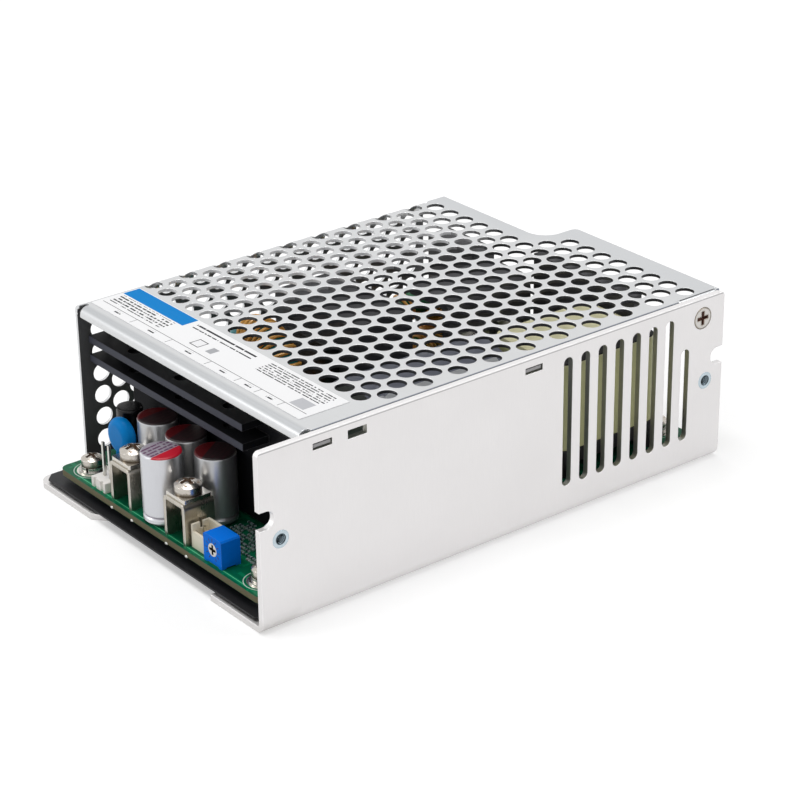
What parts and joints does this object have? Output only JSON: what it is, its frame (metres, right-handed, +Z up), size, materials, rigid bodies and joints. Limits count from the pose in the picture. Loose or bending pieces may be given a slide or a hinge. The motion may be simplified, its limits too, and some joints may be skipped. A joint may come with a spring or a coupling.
{
  "type": "enclosed switching power supply",
  "caption": "Enclosed switching power supply: folded aluminium chassis, perforated cover, circuit board with screw terminals, capacitors, heatsinks, chokes and a trimmer.",
  "frame": {"origin": "under the middle of the case, on the plane of its base", "axes": "+Z up, output end towards -Y, plain slotted wall at +X, long axis along Y"},
  "size_m": [0.0914, 0.1344, 0.0431],
  "materials": {
    "chassis_metal": "satin, fine grain",
    "cover_metal": "brushed",
    "bush_steel": "plated",
    "screw_steel": "plated",
    "label_film": "satin film",
    "film_black": "satin",
    "board_green": "solder mask",
    "washer_steel": "plated",
    "terminal_tin": "tin plated",
    "can_metal": "bright can",
    "sleeve_black": "shrink sleeve",
    "disc_blue": "coated",
    "housing_white": "moulded",
    "housing_cream": "moulded",
    "trimmer_blue": "moulded",
    "rotor_white": "moulded",
    "chip_dark": "matt",
    "sink_black": "black anodised",
    "package_black": "moulded",
    "core_teal": "coated",
    "wire_copper": "enamelled",
    "base_black": "moulded",
    "ferrite_grey": "ground ferrite",
    "tape_amber": "tape",
    "sleeve_grey": "shrink sleeve",
    "tape_yellow": "tape",
    "core_green": "coated",
    "sink_grey": "dark anodised",
    "box_grey": "moulded",
    "fuse_brown": "moulded",
    "disc_green": "coated"
  },
  "bodies": {
    "supply": {"chassis": "chassis_metal", "cover": "cover_metal", "side_bushes": "bush_steel", "cover_screws": "screw_steel", "rating_label": "label_film", "insulation_film": "film_black", "standoffs": "bush_steel", "board": "board_green", "board_screws": "screw_steel", "flat_washers": "washer_steel", "spring_washers": "washer_steel", "output_terminal_far": "terminal_tin", "output_terminal_near": "terminal_tin", "square_washers": "washer_steel", "terminal_screws": "screw_steel", "output_capacitor_front": "can_metal", "output_capacitor_1": "can_metal", "output_capacitor_2": "can_metal", "output_capacitor_3": "can_metal", "standby_capacitor": "sleeve_black", "disc_capacitor": "disc_blue", "sense_header": "housing_white", "sense_pins": "terminal_tin", "signal_connector": "housing_cream", "signal_pins": "terminal_tin", "trimmer_body": "trimmer_blue", "chip_parts": "chip_dark", "output_heatsink": "sink_black", "output_rectifiers": "package_black", "rectifier_screws": "screw_steel", "output_choke_core": "core_teal", "output_choke_winding": "wire_copper", "output_choke_base": "base_black", "transformer_core": "ferrite_grey", "transformer_bobbin": "base_black", "transformer_winding": "tape_amber", "bulk_capacitor": "sleeve_grey", "taped_choke": "tape_yellow", "taped_choke_base": "base_black", "line_choke_core": "core_green", "line_choke_windings": "wire_copper", "line_choke_base": "base_black", "primary_heatsink": "sink_grey", "primary_transistors": "package_black", "transistor_screws": "screw_steel", "bridge_heatsink": "sink_grey", "bridge_rectifier": "package_black", "bridge_screw": "screw_steel", "line_capacitor": "box_grey", "fuse": "fuse_brown", "thermistor": "disc_green", "varistor": "disc_blue", "inlet_header": "housing_white", "inlet_pins": "terminal_tin"},
    "rotor": {"trimmer_rotor": "rotor_white"}
  },
  "joints": [
    {"name": "trim_turn", "type": "hinge", "parent": "supply", "child": "rotor", "pos_m": [0.02178, -0.0634, 0.0093], "axis": [0, -1, 0], "range_deg": [-130, 130]}
  ]
}
